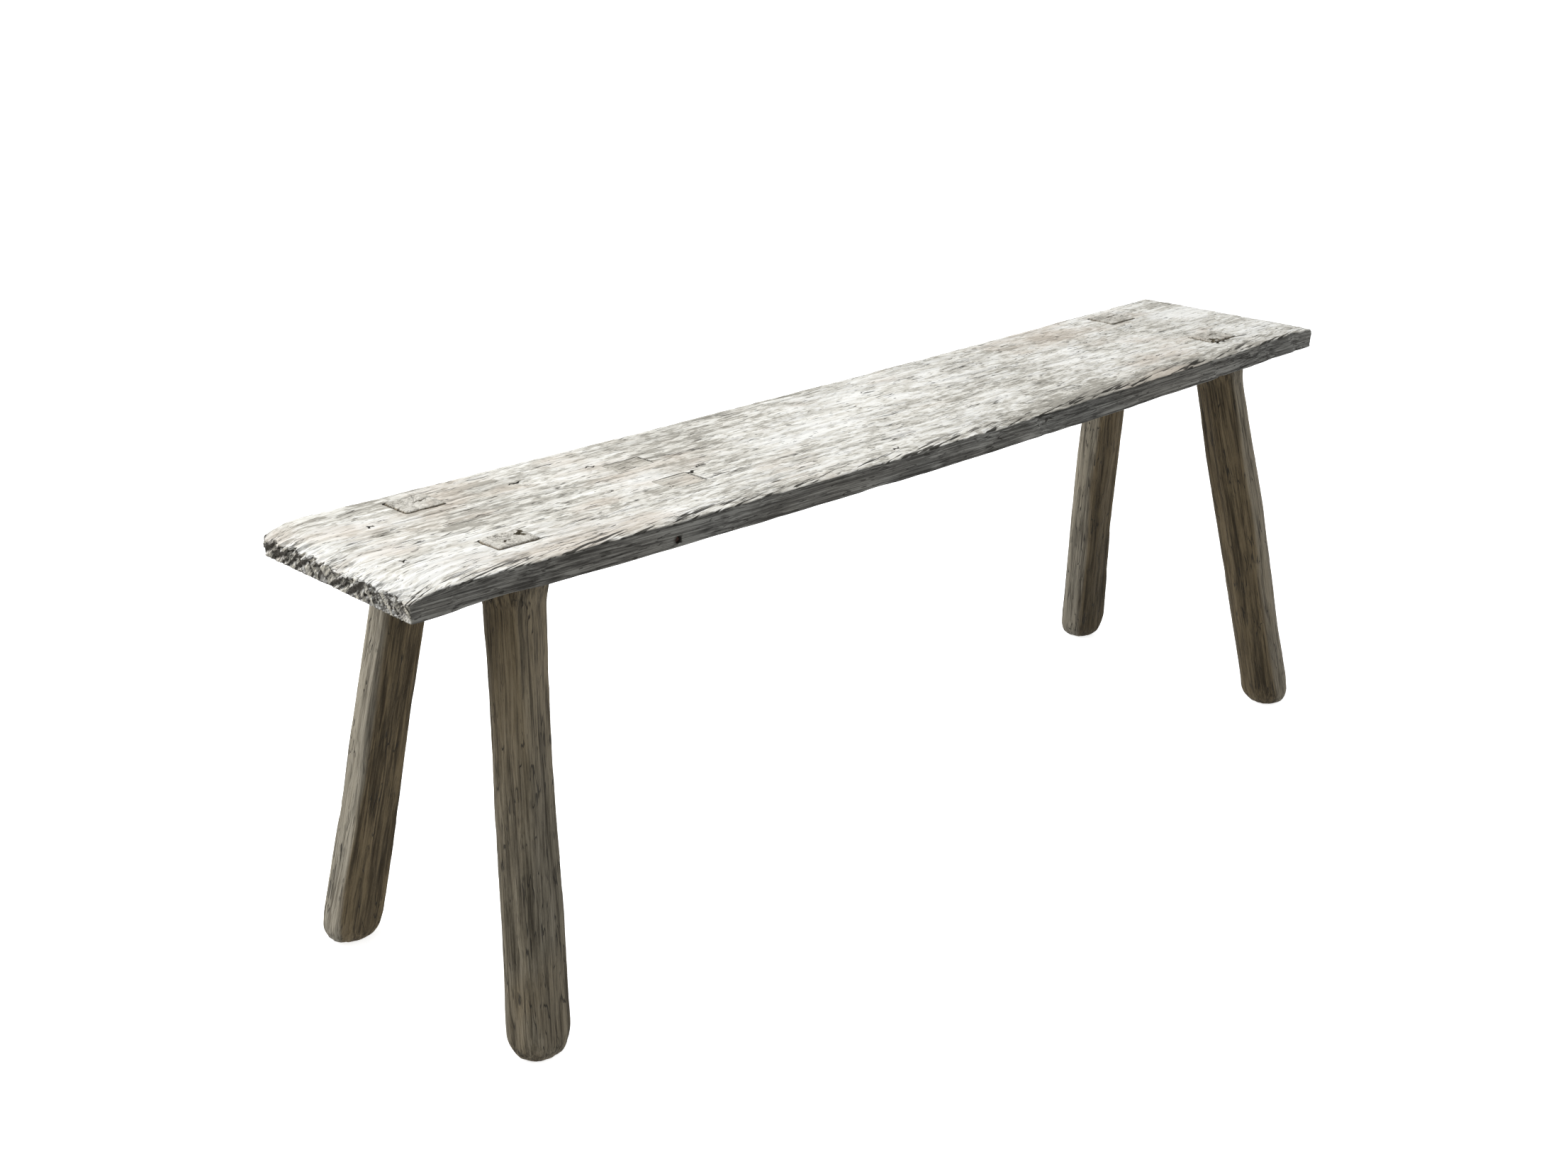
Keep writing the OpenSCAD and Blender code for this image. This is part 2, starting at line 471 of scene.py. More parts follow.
plugs = {node: boxOf(node) for node in plugNodes}
nailLow, nailHigh = boxOf("nail_stub")
nailX, _, nailZ = (nailLow + nailHigh) / 2


def bowed(x, by):
    return by * np.cos(math.pi / 2 * np.clip(x / halfLength, -1, 1))


def frontEdge(x):
    return -halfWidth - bowed(x, seat["bow"])


def backEdge(x):
    return halfWidth - bowed(x, seat["hollow"])


def seatStations():
    (leftReach, leftStep), (rightReach, rightStep) = seat["leftClose"], seat["rightClose"]
    close = [(leftEnd, leftEnd + leftReach, leftStep), (halfLength - rightReach, halfLength, rightStep)]
    reach, step = seat["tenonClose"]
    close += [(f["neck"][0] - f["tenon"][0] - reach, f["neck"][0] + f["tenon"][0] + reach, step)
              for f in legs.values()]
    reach, step = seat["plugClose"]
    close += [(low[0] - reach, high[0] + reach, step) for low, high in plugs.values()]
    at = [-halfLength]
    while at[-1] < halfLength:
        step = min([seat["step"]] + [s for low, high, s in close if low <= at[-1] <= high])
        at.append(at[-1] + step)
    at = np.array(at)
    return -halfLength + (at + halfLength) * 2 * halfLength / (at[-1] + halfLength)


def cornerRadius(x, y):
    radius = np.zeros(x.shape)
    for (sx, sy), size in seat["corners"].items():
        radius = np.where((np.sign(x + 1e-6) == sx) & (np.sign(y + 1e-6) == sy), size, radius)
    return radius


# axe and saw marks on the end grain, 0 to 1 deep: one way by the front corner, crossing behind it
def hackMarks(y, rise):
    crossing = eased((y + 70) / 40)
    downCut = unit(noiseAt((y * 0.8 + rise) / 3.4, (rise - y * 0.8) / 30, seed=23) * 1.9 - 0.15)
    upCut = noiseAt((y * 0.75 - rise * 0.62) / 2.6, (rise + y * 0.8) / 60, seed=26)
    return np.maximum(downCut * crossing, unit(upCut * 2.2 - 0.1 - 0.35 * crossing))


def wearOf(name, distance):
    depth, reach, power = seat[name]
    return depth * fade(distance, reach) ** power


# how far the top has sunk at a point of the seat
def topSunk(x, y):
    fromLeft, fromFront = x - leftEnd, y - frontEdge(x)
    rim = wearOf("rimWear", fromLeft) * (0.85 + 0.3 * noiseAt(x / 30, y / 24, seed=3))
    frontTip = wearOf("frontTipWear", np.hypot(fromLeft, y + halfWidth))
    backTip = wearOf("backTipWear", np.hypot(fromLeft, y - halfWidth))
    right = wearOf("rightRoll", halfLength - x)
    dished = seat["dished"] * eased(1 - abs(y) / 120) * (0.5 + 0.5 * noiseAt(x / 260, y / 120, seed=5))
    worn = seat["frontWorn"] * fade(fromFront, 24) ** 1.5 * (0.6 + 0.7 * noiseAt(x / 46, 0.5, seed=6))
    nearEnd = fade(fromLeft, 26)
    swung = y + 0.5 * fromLeft * unit(-y / halfWidth)
    chips = seat["chipDepth"] * unit(noiseAt(x / 30, swung / 3.4, seed=8) - 0.08) * nearEnd ** 0.8
    chips = chips + seat["crumbDepth"] * unit(roughAt(x / 9, y / 7, seed=13) - 0.15) * nearEnd
    slant = fromFront - 0.42 * x
    fibres = seat["fibreDepth"] * unit(noiseAt(slant / 3.6, x / 34, seed=9)) * fade(fromFront, 16)
    pocks = seat["pockDepth"] * unit(roughAt(x / 16, y / 6, seed=10) - 0.1)
    worn = np.maximum(worn, 0)
    return seat["skin"] + rim + frontTip + backTip + right + dished + worn + chips + fibres + pocks


def shapeSeat(places):
    x, y, up = places.T
    low = up < 0.5
    fromX, fromY = halfLength - abs(x), halfWidth - abs(y)
    edge = np.minimum(fromX, fromY)
    corner = cornerRadius(x, y)
    # arris: rings close to the rim move in and down together
    lowArris = seat["lowArris"] + seat["lowArrisRight"] * eased((x + 200) / 500)
    lowArris = lowArris + seat["lowArrisGives"] * roughAt(x / 34, y / 34, seed=11)
    topArris = seat["topArris"] + seat["topArrisGives"] * roughAt(x / 21, y / 21, seed=12)
    arris = np.where(low, lowArris, topArris)
    arris = arris + np.where(~low & (x > halfLength - 30), seat["rightArrisMore"], 0)
    arris = np.clip(arris, *seat["arrisRange"])
    thick = seatTop - underside
    flat = np.where(low, up, 1 - up) * thick
    over, drop = unit((arris - edge) / arris), unit((arris - flat) / arris)
    both = np.maximum(over, drop) / np.maximum(np.hypot(over, drop), 1e-9)
    ringNow = np.where(over > 0, arris - arris * over * both, edge)
    levelNow = np.where(drop > 0, arris - arris * drop * both, flat)
    # cut marks and long hewn flats take a little more off the rim
    longSide, rise = fromY <= fromX, up * thick
    flats = seat["flatDepth"] * abs(noiseAt(x / seat["flatLength"], up * 0.7, seed=21)) * longSide
    for at, reach, depth in seat["facets"]:
        flats = flats + depth * fade(abs(x - at + 0.5 * rise), reach) * longSide * (y < 0)
    frayed = 0.9 * unit(roughAt(x / 11, rise / 5, seed=25)) * unit((up - 0.6) / 0.3) * longSide
    ragged = seat["ragDepth"] * unit(roughAt(y / 13, up * 1.6, seed=24)) ** 0.7
    hacked = (seat["hackDepth"] * hackMarks(y, rise) + ragged) * ~longSide
    hacked = hacked * (0.3 + 0.7 * eased(up / 0.3)) * np.where(x < 0, 1, seat["hackRight"])
    ringNow = ringNow + (flats + frayed + hacked) * fade(edge, 9)
    # rings move in on the corner's own centre, and its square rings turn round
    inX, inY = np.maximum(corner - fromX, 0), np.maximum(corner - fromY, 0)
    most = np.maximum(inX, inY)
    shrink = np.where(most > 0, (corner - ringNow) / np.maximum(corner - edge, 1e-6), 1.0)
    inX, inY = inX * shrink, inY * shrink
    turn = np.maximum(inX, inY) / np.maximum(np.hypot(inX, inY), 1e-9)
    px = np.where((most > 0) & (fromX < corner), halfLength - corner + inX * turn, abs(x)) * np.sign(x)
    py = np.where((most > 0) & (fromY < corner), halfWidth - corner + inY * turn, abs(y)) * np.sign(y)
    # the whole outline then takes its bow, its hollow back and its worn right end
    share = (py + halfWidth) / (2 * halfWidth)
    peak = seat["wearPeak"]
    worn = seat["rightWear"] * (abs(share - peak) / (1 - peak)) ** 1.5
    px = px - eased((px - seat["wearFrom"]) / (halfLength - seat["wearFrom"])) * worn
    front, back = frontEdge(px), backEdge(px)
    fromLeft = px - leftEnd
    front = front - seat["cornerFlare"] * fade(fromLeft, seat["flareReach"]) * (1 - up)
    py = front + (back - front) * share
    lift = 0.35 + 0.3 * noiseAt(px / 170, py / 90, seed=31) + 1.2 * fade(fromLeft, 30) ** 2
    nearFront = fade(py - front, 40)
    wavy = nearFront * 0.6 * eased(0.5 + 0.9 * roughAt(px / 95, 0.3, seed=32))
    wavy = wavy + 2.4 * nearFront * mound(px + 556, 34)
    bottom, top = underside + lift + wavy, seatTop - topSunk(px, py)
    z = np.where(low, bottom + levelNow * (top - bottom) / thick, top - levelNow * (top - bottom) / thick)
    return np.stack([px, py, z], 1)


# fibres run along the seat, wander a little, and swing round at the front left corner
def seatGrain(points):
    x, y, z = points.T
    swing = mound(x - leftEnd, 46) * mound(y + halfWidth, 70) * eased((z - seatTop + 10) / 7)
    y = y + 5.0 * noiseAt(x / 240, y / 60, seed=41) + 1.6 * noiseAt(x / 70, y / 22, seed=42) + 26 * swing
    z = z + 0.9 * noiseAt(x / 260, z / 30, seed=43)
    return np.stack([x, y, z], 1) * mm


# where the top is washed pale or stays grey: middle, reach and how much
washes = [
    ((-512, -80), (75, 26), 0.25), ((-7, 25), (110, 80), 0.32), ((-312, -10), (34, 18), 0.4),
    ((588, 40), (50, 26), 0.6), ((-590, -60), (60, 60), 0.2), ((-350, -95), (160, 22), 0.12),
    ((-560, 20), (70, 26), -0.3), ((380, -40), (120, 20), 0.15), ((-487, 0), (130, 24), -0.12),
    ((-237, 30), (110, 34), -0.12), ((288, 20), (210, 46), 0.16), ((320, -122), (210, 22), -0.9),
    ((90, -128), (110, 16), -0.1), ((-240, -128), (120, 12), -0.4), ((560, -40), (60, 60), 0.1),
    ((-560, 70), (60, 26), 0.1),
]


# what the finish needs to know of each point of the seat
def markSeat(piece):
    points, normals = pointsOf(piece.data), normalsOf(piece.data)
    x, y, z = points.T
    wash = 0
    for (mx, my), (rx, ry), amount in washes:
        wash = wash + amount * np.exp(-((x - mx) / rx) ** 2 - ((y - my) / ry) ** 2)
    # end faces, the left one fully and the right one by half, take a painted highlight and painted shade in
    # their cuts
    ends = eased((abs(normals[:, 0]) - 0.4) / 0.3) * (abs(x) > halfLength - 45) * np.where(x < 0, 1, 0.5)
    nearRim = fade(x - leftEnd, 24)
    facing = eased(-normals[:, 1] / 0.6)
    fromFront = y - frontEdge(x)
    inside = np.minimum.reduce([fromFront, backEdge(x) - y, x - leftEnd - 8, halfLength - 12 - x]) > 5
    # points sunk below the worn top, in holes, splits and mortise gaps, get painted shade
    hole = unit((seatTop - topSunk(x, y) - z - 1.1) / 1.3) * inside * (z > underside + 3)
    offNail = np.hypot(x - nailX, z - nailZ)
    # round the nail its hole gets painted shade and the face by it a rust stain
    hole = np.maximum(hole, (offNail < nail["stainAndShade"]) * (y > nailLow[1] - 0.4) * (y < 0))
    # faces turned up are pale from sun-bleaching and the rest darker, partly as painted shade
    bleachAndShade = eased((normals[:, 2] - 0.45 + 0.27 * nearRim * (1 - facing)) / 0.38) * (1 - hole)
    margin = np.maximum(unit(1.7 - fromFront / 17), nearRim * 0.8) * (normals[:, 2] > 0.3)
    traits = {
        "grain": seatGrain(points), "hole": hole, "bleachAndShade": bleachAndShade, "wash": wash + 0.35 * nearRim,
        "endFace": ends, "cut": hackMarks(y, z - underside) * ends, "margin": margin,
    }
    for label, values in traits.items():
        keepOn(piece.data, label, values)


def makeSeatBlank():
    stations = seatStations()
    across = np.linspace(-halfWidth, halfWidth, seat["columns"])
    piece, places = boxBlank("seat", stations, across, seat["levels"], seat["below"])
    points = shapeSeat(places)
    movePoints(piece.data, points)
    keepOn(piece.data, "grain", seatGrain(points))
    faceOutwards(piece)
    return piece


# relief that all the wood shares: ridges and grooves along the fibres, dents across them
def makeWeatheringTree():
    tree, given, sink = newTree("weathering", "GeometryNodeTree", {
        "Geometry": None, "Ridge Depth": 0.0005, "Ridge Width": 0.006, "Ridge Length": 0.16,
        "Groove Depth": 0.0008, "Groove Width": 0.004, "Groove Length": 0.09, "Groove Share": 0.62,
        "Dent Depth": 0.0008, "Dent Size": 0.03, "Seed": 0.0, "Material": None,
    }, ["Geometry"])
    grain = readTrait(tree, "grain", "FLOAT_VECTOR")
    along, across, deep = partsOf(tree, grain)
    seed = given["Seed"]

    def stretched(length, width, shift):
        return vectorOf(tree, along / length + seed + shift, across / width + shift, deep / width - seed)

    ridges = noiseOf(tree, stretched(given["Ridge Length"], given["Ridge Width"], 0.0), detail=2.0) - 0.5
    grooves = noiseOf(tree, stretched(given["Groove Length"], given["Groove Width"], 31.7), detail=1.0)
    grooves = stepUp(tree, grooves, given["Groove Share"], given["Groove Share"] + 0.1)
    px, py, pz = partsOf(tree, out(tree, tree.nodes.new("GeometryNodeInputPosition")))
    size = given["Dent Size"]
    dents = noiseOf(tree, vectorOf(tree, px / size + seed, py / size, pz / size))
    move = ridges * given["Ridge Depth"] * 2.0 - grooves * given["Groove Depth"] - dents * given["Dent Depth"]
    nx, ny, nz = partsOf(tree, out(tree, tree.nodes.new("GeometryNodeInputNormal")))
    # where grooves and the low sides of ridges lie, which the finish darkens as painted shade
    hollow = grooves * 0.6 + stepUp(tree, ridges, 0.06, -0.14) * 0.5
    moved = addNode(tree, "GeometryNodeSetPosition", {
        "Geometry": storeTrait(tree, given["Geometry"], "hollow", hollow),
        "Offset": vectorOf(tree, nx * move, ny * move, nz * move),
    })
    return endShapes(tree, sink, out(tree, moved), given["Material"])


# a leg's blank: rows of points that know their turn, height, share of tenon and reach from the middle
legBlankSize = {
    "around": 176, "girth": 20.0, "shaftStep": 2.5, "neckStep": 1.7, "neckReach": 40.0,
    "sole": (0.3, 0.6, 0.84), "shaftFrom": 22.5,
    "toe": (0, 0.4, 1.1, 2.2, 3.6, 5.4, 7.6, 10.2, 13.2, 16.6, 20),
    "shoulder": (0.0, 0.35, 0.7, 1.0), "tenon": (0.3, 0.6, 0.84, 0.93),
    "crown": (0.965, 0.92, 0.87, 0.81, 0.74, 0.67, 0.6, 0.52, 0.44, 0.36, 0.28, 0.2, 0.12),
}
legTraits = ("turn", "rise", "tenonShare", "post", "reach")


def makeLegBlank(name):
    size = legBlankSize
    neck = underside - size["neckReach"]
    rows = [(0.0, 0.0, 0.0, reach) for reach in size["sole"]]
    rows += [(z, 0.0, 0.0, 1.0) for z in size["toe"]]
    rows += [(z, 0.0, 0.0, 1.0) for z in np.arange(size["shaftFrom"], neck, size["shaftStep"])]
    rows += [(z, 0.0, 0.0, 1.0) for z in np.arange(neck, underside, size["neckStep"])]
    rows += [(underside, share, 0.0, 1.0) for share in size["shoulder"]]
    rows += [(underside, 1.0, post, 1.0) for post in size["tenon"]]
    rows += [(underside, 1.0, 1.0, reach) for reach in size["crown"]]
    n, count = size["around"], len(rows)
    foot, head = count * n, count * n + 1
    facts = np.vstack([np.repeat(np.array(rows), n, 0), [0, 0, 0, 0], [underside, 1, 1, 0]])
    turns = np.append(np.tile(turnsOf(n), count), [0, 0])
    faces = tubeFaces(count, n) + fanFaces(n, foot, 0, head, (count - 1) * n)
    rise, share, post, reach = facts.T
    places = np.stack([reach * np.cos(turns) * size["girth"], reach * np.sin(turns) * size["girth"],
                       rise + post * (seatTop - underside)], 1)
    piece = newPiece(name, places, faces)
    for trait, values in zip(legTraits, (turns, rise * mm, share, post, reach)):
        keepOn(piece.data, trait, values)
    return piece


# the rule for a hewn leg: flats cut round a leaning shaft, flared under the seat and squared into a tenon
def makeHewnLegTree(flatsCut=8, crisp=34.0, squareness=16.0):
    tree, given, sink = newTree("hewn leg", "GeometryNodeTree", {
        "Geometry": None, "Foot": (0, 0, 0), "Neck": (0, 0, 0.45), "Underside": 0.424,
        "Low Radius": 0.027, "High Radius": 0.025, "Flare": 0.005, "Flare Height": 0.032,
        "Toe Wide": 0.013, "Toe Tall": 0.018, "Tenon Long": 0.021, "Tenon Wide": 0.017,
        "Lip Turn": 3.1, "Lip Reach": 0.0, "Lip Gap": 0.0,
        "Hewing": 0.05, "Twist": 0.2, "Turned": 0.0, "Bend": 0.002, "Seed": 0.0,
        "Tan Low": 0.9, "Tan High": 0.9, "Pale Turn": 3.0, "Pale Share": 0.5, "Deep": 0.1, "Material": None,
    }, ["Geometry"])
    turn, rise, tenonShare, post, reach = (readTrait(tree, trait) for trait in legTraits)
    seed, floorUp = given["Seed"], given["Underside"]
    footX, footY, _ = partsOf(tree, given["Foot"])
    neckX, neckY, neckZ = partsOf(tree, given["Neck"])
    height = rise + post * (neckZ - floorUp)
    share = height / neckZ
    jitter = np.random.default_rng(7)
    total = None
    for k in range(flatsCut):
        facing = 2 * math.pi * k / flatsCut + jitter.uniform(-0.2, 0.2)
        cut = noiseOf(tree, vectorOf(tree, rise * 4.6 + seed, seed * 0.7 + k * 7.31, 0.5), detail=1.0) - 0.5
        away = (turn - facing - given["Turned"] - rise * given["Twist"]).math("COSINE").math("MAXIMUM", 0.05)
        term = (away / (1.0 + cut * given["Hewing"] * 2.0)) ** crisp
        total = term if total is None else total + term
    flats = total ** (-1.0 / crisp)
    flats = flats + (0.985 - flats) * stepUp(tree, height, 0.034, 0.004, 0.0, 0.85)
    radius = given["Low Radius"] + (given["High Radius"] - given["Low Radius"]) * (rise / floorUp)
    flare = stepUp(tree, rise, floorUp - given["Flare Height"], floorUp)
    toe = (1.0 - height / given["Toe Tall"]).math("MAXIMUM", 0.0)
    toe = (1.0 - (1.0 - toe * toe).math("MAXIMUM", 0.0).math("SQRT")) * given["Toe Wide"]
    cosT, sinT = turn.math("COSINE"), turn.math("SINE")
    lumps = noiseOf(tree, vectorOf(tree, cosT * 1.1 + seed, sinT * 1.1, rise * 9.0)) - 0.5
    toeRough = noiseOf(tree, vectorOf(tree, cosT * 2.2 - seed, sinT * 2.2, rise * 60.0)) - 0.5
    lipNear = (turn - given["Lip Turn"]).math("COSINE").math("MAXIMUM", 0.0) ** 6.0
    lip = lipNear * stepUp(tree, rise, floorUp - 0.016, floorUp - 0.003) * given["Lip Reach"]
    shaft = (radius * flats * 0.992 + flare * given["Flare"] - toe + lumps * 0.0032
             + stepUp(tree, height, 0.03, 0.0) * toeRough * 0.004 + lip)
    longWay = (cosT / given["Tenon Long"]).math("ABSOLUTE") ** squareness
    wideWay = (sinT / given["Tenon Wide"]).math("ABSOLUTE") ** squareness
    square = (longWay + wideWay) ** (-1.0 / squareness)
    outward = (shaft + (square - shaft) * tenonShare) * reach
    bend = (share * math.pi).math("SINE") * given["Bend"]
    dx, dy = outward * cosT, outward * sinT
    x = footX + (neckX - footX) * share + dx + bend * (seed * 3.1).math("COSINE")
    y = footY + (neckY - footY) * share + dy + bend * (seed * 3.1).math("SINE")
    gap = lipNear * (1.0 - tenonShare) * stepUp(tree, rise, floorUp - 0.004, floorUp) * given["Lip Gap"]
    crown = noiseOf(tree, vectorOf(tree, dx / 0.009 + seed, dy / 0.006, 0.5), detail=2.0) * post * 0.0014
    rim = stepUp(tree, reach, 0.9, 1.0) * stepUp(tree, post, 0.99, 1.0) * 0.0006
    z = height - gap - crown - rim
    moved = addNode(tree, "GeometryNodeSetPosition", {
        "Geometry": given["Geometry"], "Position": vectorOf(tree, x, y, z),
    })
    grain = vectorOf(tree, height + seed * 0.31, dx + seed * 0.17, dy - seed * 0.23)
    geometry = storeTrait(tree, out(tree, moved), "grain", grain, "FLOAT_VECTOR")
    # one flank of each leg, turned towards the light, gets a painted highlight
    litSideEdge = noiseOf(tree, vectorOf(tree, rise * 9.0 + seed, cosT * 2.0, sinT * 2.0), detail=3.0) - 0.5
    paintedLitSide = stepUp(tree, (turn - given["Pale Turn"]).math("COSINE") + litSideEdge * 0.5, 0.62, 0.84)
    traits = {
        # the tenon's end is pale from sun-bleaching, its sides darker partly as painted shade
        "bleachAndShade": stepUp(tree, post, 0.9, 1.0),
        "tan": stepUp(tree, rise, 0.15, 0.4, given["Tan Low"], given["Tan High"]),
        "paintedLitSide": paintedLitSide * given["Pale Share"] * (1.0 - tenonShare),
        "deep": given["Deep"] * stepUp(tree, rise, 0.32, 0.06, 0.45, 1.0),
    }
    for name, value in traits.items():
        geometry = storeTrait(tree, geometry, name, value)
    for name in legTraits:
        made = addNode(tree, "GeometryNodeRemoveAttribute", {"Geometry": geometry, "Name": name})
        geometry = out(tree, made)
    return endShapes(tree, sink, geometry, given["Material"])


# cutters: a pocket round a leaning tenon or a plug, and a slim wedge for a split in the wood
def pocketCutter(name, middleAt, half, gap, levels, seed, square=16.0, rim=0.5):
    n = 96
    turn = turnsOf(n)
    cosT, sinT = np.cos(turn), np.sin(turn)
    rows = []
    for z in levels:
        wobble = roughAt(turn * 3.2 / math.pi * 2, z / 14, seed=seed)
        loose = gap[0] + (gap[1] - gap[0]) * (0.5 + 0.5 * wobble)
        loose = loose + rim * eased((z - seatTop + 3.5) / 3.0)
        a, b = half[0] + loose, half[1] + loose
        reach = ((abs(cosT) / a) ** square + (abs(sinT) / b) ** square) ** (-1 / square)
        mx, my = middleAt(z)
        rows.append(np.stack([mx + reach * cosT, my + reach * sinT, np.full(n, z)], 1))
    count = len(rows)
    ends = [tuple(range(n))[::-1], tuple(range((count - 1) * n, count * n))]
    return newPiece(name, np.vstack(rows), ends + tubeFaces(count, n))


def splitCutter(at, along, outward, length, width, depth, lift=3.0):
    at, along, outward = (np.array(v, float) for v in (at, along, outward))
    along, outward = along / np.linalg.norm(along), outward / np.linalg.norm(outward)
    sideways = np.cross(outward, along)
    ring = ((-1.0, 1.0), (1.0, 1.0), (0.75, -0.4), (0.0, -1.0), (-0.75, -0.4))
    places = [at - along * length / 2]
    count = 11
    for k in range(1, count):
        s = 2 * k / count - 1
        swell = (1 - s * s) ** 0.8
        wander = 0.35 * width * math.sin(5 * s + at[0])
        for across, up in ring:
            height = lift if up > 0 else up * depth * swell
            aside = sideways * (across * width / 2 * swell + wander)
            places.append(at + along * length / 2 * s + aside + outward * height)
    places.append(at + along * length / 2)
    n, last = len(ring), len(places) - 1
    piece = newPiece("split", places, tubeFaces(count - 1, n, 1) + fanFaces(n, 0, 1, last, last - n))
    faceOutwards(piece)
    return piece


# splits that opened as the plank dried: middle on the top, length, width, depth and slant in degrees
topSplits = [
    ((-265, -27), 17, 5.4, 6.0, 10), ((-324, 53), 14, 4.2, 5.0, -10), ((-404, 63), 18, 4.0, 5.0, 6),
    ((-570, 51), 9, 5.4, 5.0, 20), ((-598, -44), 8, 4.6, 4.5, -20), ((-72, -112), 13, 4.0, 4.5, 14),
    ((-248, -18), 9, 3.4, 4.0, 25), ((-180, 66), 22, 2.2, 4.0, 3), ((96, -62), 26, 1.8, 3.5, 2),
    ((505, -82), 22, 8.5, 7.0, 4), ((536, -81), 56, 4.0, 5.0, -3), ((-484, -80.5), 34, 2.6, 3.5, 0),
    ((310, 34), 30, 1.7, 4.0, -2), ((405, -70), 18, 1.6, 3.0, 5), ((560, -96), 24, 2.0, 4.0, 4),
]
# checks that opened in the tenons' ends: middle, direction, length, width and depth
tenonSplits = {
    "leg_front_left": [((-488, -58), (0.35, 1), 16, 8.0, 7.0), ((-508, -66), (1, 0.3), 12, 3.0, 4.5)],
    "leg_back_left": [((-499, 79), (1, 0.15), 20, 1.4, 3.0)],
    "leg_front_right": [((504, -74), (1, 0.25), 18, 9.0, 7.0), ((523, -58), (1, -0.1), 22, 2.0, 3.5)],
    "leg_back_right": [((512, 84), (1, 0.1), 24, 1.6, 3.0)],
}
nail = {
    # the reach round the nail of its painted shade and rust stain
    "radius": 2.7, "sunk": 1.6, "length": 14.0, "stainAndShade": 4.6,
    # share of the radius and distance behind the face
    "profile": ((0.18, 0.1), (0.42, 0.0), (0.68, 0.05), (0.88, 0.35),
                (0.98, 0.9), (1.0, 1.8), (0.92, 3.2), (0.9, 6.0)),
    "shankShare": 0.88,
}
pocketSteps = {
    "tenonGap": (0.3, 1.9), "tenonLow": (-14, -2, 8), "tenonHigh": (-9, -4, -2, 0, 9),
    "plugGap": (-0.3, 0.25), "plugLow": (-0.5, 6), "plugHigh": (-4, -2, 0, 9),
}


def seatCutters():
    steps, cutters = pocketSteps, []
    levels = [underside + z for z in steps["tenonLow"]] + [seatTop + z for z in steps["tenonHigh"]]
    for k, facts in enumerate(legs.values()):
        foot, neck = facts["foot"], facts["neck"]

        def middleAt(z, foot=foot, neck=neck):
            return (foot + (neck - foot) * (z / neck[2]))[:2]

        cutters.append(pocketCutter("mortise", middleAt, facts["tenon"], steps["tenonGap"], levels, 50 + k))
    for k, (low, high) in enumerate(plugs.values()):
        middle, half = (low + high) / 2, (high - low) / 2
        levels = [low[2] + z for z in steps["plugLow"]] + [seatTop + z for z in steps["plugHigh"]]
        cutters.append(pocketCutter("plug pocket", lambda z, m=middle: m[:2], half, steps["plugGap"], levels,
                                    60 + k, square=14.0, rim=0.0))
    for (x, y), length, width, depth, slant in topSplits:
        turn = math.radians(slant)
        top = seatTop - topSunk(np.array(float(x)), np.array(float(y)))
        along = (math.cos(turn), math.sin(turn), 0)
        cutters.append(splitCutter((x, y, float(top)), along, (0, 0, 1), length, width, depth))
    return cutters


# a ring of points round the nail's line
def nailRing(turn, r, y):
    return np.stack([nailX + r * np.cos(turn), y + 0 * turn, nailZ + r * np.sin(turn)], 1)


def nailHole():
    n = 24
    profile = ((nailLow[1] - 6, 4.2), (nailLow[1] + 1.5, 3.6), (nailLow[1] + 6, 3.2), (nailHigh[1], 2.8))
    rows = [nailRing(turnsOf(n), r, y) for y, r in profile]
    count = len(rows)
    ends = [tuple(range(n)), tuple(range((count - 1) * n, count * n))]
    piece = newPiece("nail hole", np.vstack(rows), ends + tubeFaces(count, n, flip=True))
    faceOutwards(piece)
    return piece


# the stub of an iron nail, rusted down to a rough knob
def makeNail():
    n = 40
    turn = turnsOf(n)
    face, rings = nailLow[1] + nail["sunk"], []
    for share, back in (*nail["profile"], (nail["shankShare"], nail["length"])):
        rough = 1 + 0.07 * noiseAt(np.cos(turn) * 2.4, np.sin(turn) * 2.4, back / 2, seed=71)
        r = nail["radius"] * share * rough
        dent = 0.3 * noiseAt(r * np.cos(turn) / 1.1, r * np.sin(turn) / 1.1, seed=72) * (back < 1)
        rings.append(nailRing(turn, r, face + back + dent + 0.3))
    tips = [[[nailX, y, nailZ]] for y in (face + 0.4, face + nail["length"] + 0.4)]
    places = np.vstack(rings + tips)
    count = len(rings)
    faces = tubeFaces(count, n, flip=True) + fanFaces(n, count * n + 1, (count - 1) * n, count * n, 0)
    piece = newPiece("nail", places, faces)
    keepOn(piece.data, "grain", places * mm)
    faceOutwards(piece)
    return piece


# a plug let into the seat's top, its own fibres along it
def makePlug(name, low, high, seed):
    size, middle = high - low, (low + high) / 2

    def spread(length, step):
        return np.linspace(-length / 2, length / 2, max(4, int(length / step)))

    levels = (0, 0.3, 0.6, 0.82, 0.92, 0.97, 1)
    piece, places = boxBlank(name, spread(size[0], 1.0), spread(size[1], 0.9), levels)
    x, y, up = places.T
    edge = np.minimum(size[0] / 2 - abs(x), size[1] / 2 - abs(y))
    skin = seat["skin"] + 0.5 + 1.1 * fade(edge, 1.6) ** 2 + 0.5 * roughAt(x / 9, y / 5, seed=seed) ** 2
    inward = 0.35 + 0.5 * (0.5 + 0.5 * roughAt(x / 8, y / 8, up * 2, seed=seed + 1)) * (edge < 0.01)
    px, py = x * (1 - 2 * inward / size[0]), y * (1 - 2 * inward / size[1])
    z = low[2] + up * size[2] - skin * eased(up * 3 - 2)
    points = np.stack([px + middle[0], py + middle[1], z], 1)
    movePoints(piece.data, points)
    keepOn(piece.data, "grain", (points + [seed * 37.0, seed * 11.0, 0]) * mm)
    faceOutwards(piece)
    return piece


